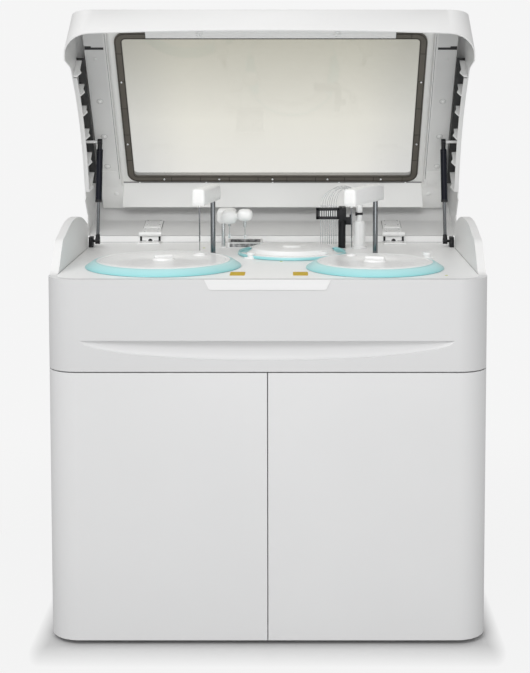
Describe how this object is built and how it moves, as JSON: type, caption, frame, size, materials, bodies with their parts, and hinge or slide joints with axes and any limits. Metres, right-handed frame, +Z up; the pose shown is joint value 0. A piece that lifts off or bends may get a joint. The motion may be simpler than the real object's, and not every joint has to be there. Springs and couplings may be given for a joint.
{
  "type": "chemistry analyzer",
  "caption": "Floor-standing analyzer cabinet: hinged window hood on gas struts over a deck with covered disks, lifting probe arms, stirrer and wash station; front doors below.",
  "frame": {"origin": "on the floor under the middle of the object's box, with the hood open and the doors shut", "axes": "+X to the right seen from the front, +Y from the front to the back, +Z up"},
  "size_m": [1.08, 0.9204, 1.5678],
  "materials": {
    "white_cover": "fine satin moulding",
    "bright_cover": "smooth bright white",
    "grey_door": "satin, pale cool grey",
    "sheet_panel": "satin powder coat",
    "liner": "matt moulded panel",
    "gasket": "matt extruded seal",
    "window": "clear, faintly warm",
    "chassis": "zinc plated sheet",
    "steel": "ground shaft",
    "dark_steel": "black coated shaft",
    "black_plastic": "fine texture",
    "tank": "translucent blow moulding",
    "module": "grey module casing",
    "foot_rubber": "matt"
  },
  "bodies": {
    "cabinet": {"base_pan": "chassis", "cooling_unit": "module", "deck_cover": "bright_cover", "door_hinge_rod_left": "steel", "door_hinge_rod_right": "steel", "foot_front_left": "foot_rubber", "foot_front_right": "foot_rubber", "foot_rear_left": "foot_rubber", "foot_rear_right": "foot_rubber", "front_fascia": "white_cover", "hinge_base_left": "bright_cover", "hinge_base_right": "bright_cover", "mid_shelf": "chassis", "photometer": "black_plastic", "power_inlet": "black_plastic", "power_supply": "module", "reaction_cover": "bright_cover", "reaction_tub": "black_plastic", "reagent_tub": "black_plastic", "rear_panel": "sheet_panel", "sample_tub": "black_plastic", "side_panel_left": "sheet_panel", "side_panel_right": "sheet_panel", "strut_bracket_left": "black_plastic", "strut_bracket_right": "black_plastic", "syringe_pump": "module", "tube_column": "bright_cover", "upper_side_left": "white_cover", "upper_side_right": "white_cover", "wash_post": "bright_cover", "waste_tank": "tank", "water_tank": "tank"},
    "hood": {"lid_shell": "white_cover", "lid_liner": "liner", "window_gasket": "gasket", "lid_window": "window", "lid_light_bar": "bright_cover", "hinge_leaf_left": "bright_cover", "hinge_leaf_right": "bright_cover"},
    "strut_rod_left": {"strut_rod_left": "steel"},
    "strut_rod_right": {"strut_rod_right": "steel"},
    "strut_cylinder_left": {"strut_cylinder_left": "black_plastic"},
    "strut_cylinder_right": {"strut_cylinder_right": "black_plastic"},
    "door_left": {"door_left": "grey_door"},
    "door_right": {"door_right": "grey_door"},
    "sample_disk": {"sample_disk": "bright_cover"},
    "reagent_disk": {"reagent_disk": "bright_cover"},
    "reaction_disk": {"reaction_disk": "bright_cover"},
    "sample_cover": {"sample_cover": "bright_cover"},
    "reagent_cover": {"reagent_cover": "bright_cover"},
    "sample_mast": {"sample_mast": "dark_steel"},
    "sample_arm": {"sample_arm": "bright_cover"},
    "reagent_mast": {"reagent_mast": "dark_steel"},
    "reagent_arm": {"reagent_arm": "bright_cover"},
    "mixer_column": {"mixer_column": "steel"},
    "mixer_head": {"mixer_head": "bright_cover"},
    "mixer_paddle_left": {"mixer_paddle_left": "steel"},
    "mixer_paddle_right": {"mixer_paddle_right": "steel"},
    "wash_head": {"wash_head": "black_plastic"},
    "switch_rocker": {"switch_rocker": "black_plastic"}
  },
  "joints": [
    {"name": "hood_hinge", "type": "hinge", "parent": "cabinet", "child": "hood", "pos_m": [0, 0.26134, 0.93], "axis": [-1, 0, 0], "range_deg": [-55.7, 0]},
    {"name": "strut_pivot_left", "type": "hinge", "parent": "cabinet", "child": "strut_rod_left", "pos_m": [-0.4945, 0.16134, 0.922], "axis": [-1, 0, 0], "range_deg": [-60.27, 0]},
    {"name": "strut_stroke_left", "type": "slide", "parent": "strut_rod_left", "child": "strut_cylinder_left", "axis": [0, 0.2407, 0.9706], "range_m": [-0.09209, 0]},
    {"name": "door_hinge_left", "type": "hinge", "parent": "cabinet", "child": "door_left", "pos_m": [-0.49823, -0.41689, 0.01], "axis": [0, 0, -1], "range_deg": [0, 110]},
    {"name": "strut_pivot_right", "type": "hinge", "parent": "cabinet", "child": "strut_rod_right", "pos_m": [0.4945, 0.16134, 0.922], "axis": [-1, 0, 0], "range_deg": [-60.27, 0]},
    {"name": "strut_stroke_right", "type": "slide", "parent": "strut_rod_right", "child": "strut_cylinder_right", "axis": [0, 0.2407, 0.9706], "range_m": [-0.09209, 0]},
    {"name": "door_hinge_right", "type": "hinge", "parent": "cabinet", "child": "door_right", "pos_m": [0.49823, -0.41689, 0.01], "axis": [0, 0, 1], "range_deg": [0, 110]},
    {"name": "sample_disk_spin", "type": "hinge", "parent": "cabinet", "child": "sample_disk", "pos_m": [-0.2717, -0.22566, 0.6895], "axis": [0, 0, 1], "continuous": true},
    {"name": "reagent_disk_spin", "type": "hinge", "parent": "cabinet", "child": "reagent_disk", "pos_m": [0.2708, -0.25526, 0.6895], "axis": [0, 0, 1], "continuous": true},
    {"name": "reaction_disk_spin", "type": "hinge", "parent": "cabinet", "child": "reaction_disk", "pos_m": [0.059, 0.01634, 0.6895], "axis": [0, 0, 1], "continuous": true},
    {"name": "sample_cover_lift", "type": "slide", "parent": "cabinet", "child": "sample_cover", "axis": [0, 0, 1], "range_m": [0, 0.07]},
    {"name": "reagent_cover_lift", "type": "slide", "parent": "cabinet", "child": "reagent_cover", "axis": [0, 0, 1], "range_m": [0, 0.07]},
    {"name": "sample_lift", "type": "slide", "parent": "cabinet", "child": "sample_mast", "axis": [0, 0, 1], "range_m": [-0.035, 0.09]},
    {"name": "sample_turn", "type": "hinge", "parent": "sample_mast", "child": "sample_arm", "pos_m": [-0.157, 0.00134, 1.055], "axis": [0, 0, 1], "range_deg": [0, 68]},
    {"name": "reagent_lift", "type": "slide", "parent": "cabinet", "child": "reagent_mast", "axis": [0, 0, 1], "range_m": [-0.04, 0.09]},
    {"name": "reagent_turn", "type": "hinge", "parent": "reagent_mast", "child": "reagent_arm", "pos_m": [0.286, -0.00466, 1.055], "axis": [0, 0, -1], "range_deg": [0, 36]},
    {"name": "mixer_lift", "type": "slide", "parent": "cabinet", "child": "mixer_column", "axis": [0, 0, 1], "range_m": [-0.015, 0.05]},
    {"name": "mixer_turn", "type": "hinge", "parent": "mixer_column", "child": "mixer_head", "pos_m": [-0.136, 0.14734, 0.975], "axis": [0, 0, 1], "range_deg": [0, 50]},
    {"name": "paddle_spin_left", "type": "hinge", "parent": "mixer_head", "child": "mixer_paddle_left", "pos_m": [-0.116, 0.09134, 0.94], "axis": [0, 0, 1], "continuous": true},
    {"name": "paddle_spin_right", "type": "hinge", "parent": "mixer_head", "child": "mixer_paddle_right", "pos_m": [-0.072, 0.07134, 0.94], "axis": [0, 0, 1], "continuous": true},
    {"name": "wash_lift", "type": "slide", "parent": "cabinet", "child": "wash_head", "axis": [0, 0, 1], "range_m": [0, 0.05]},
    {"name": "power_switch", "type": "hinge", "parent": "cabinet", "child": "switch_rocker", "pos_m": [-0.34, 0.32164, 0.154], "axis": [1, 0, 0], "range_deg": [-18, 0]}
  ],
  "couplings": [
    {"joint": "strut_pivot_left", "follows": "hood_hinge", "ratio": 1.0803},
    {"joint": "strut_stroke_left", "follows": "hood_hinge", "m_per_rad": 0.094523},
    {"joint": "strut_pivot_right", "follows": "hood_hinge", "ratio": 1.0803},
    {"joint": "strut_stroke_right", "follows": "hood_hinge", "m_per_rad": 0.094523}
  ]
}
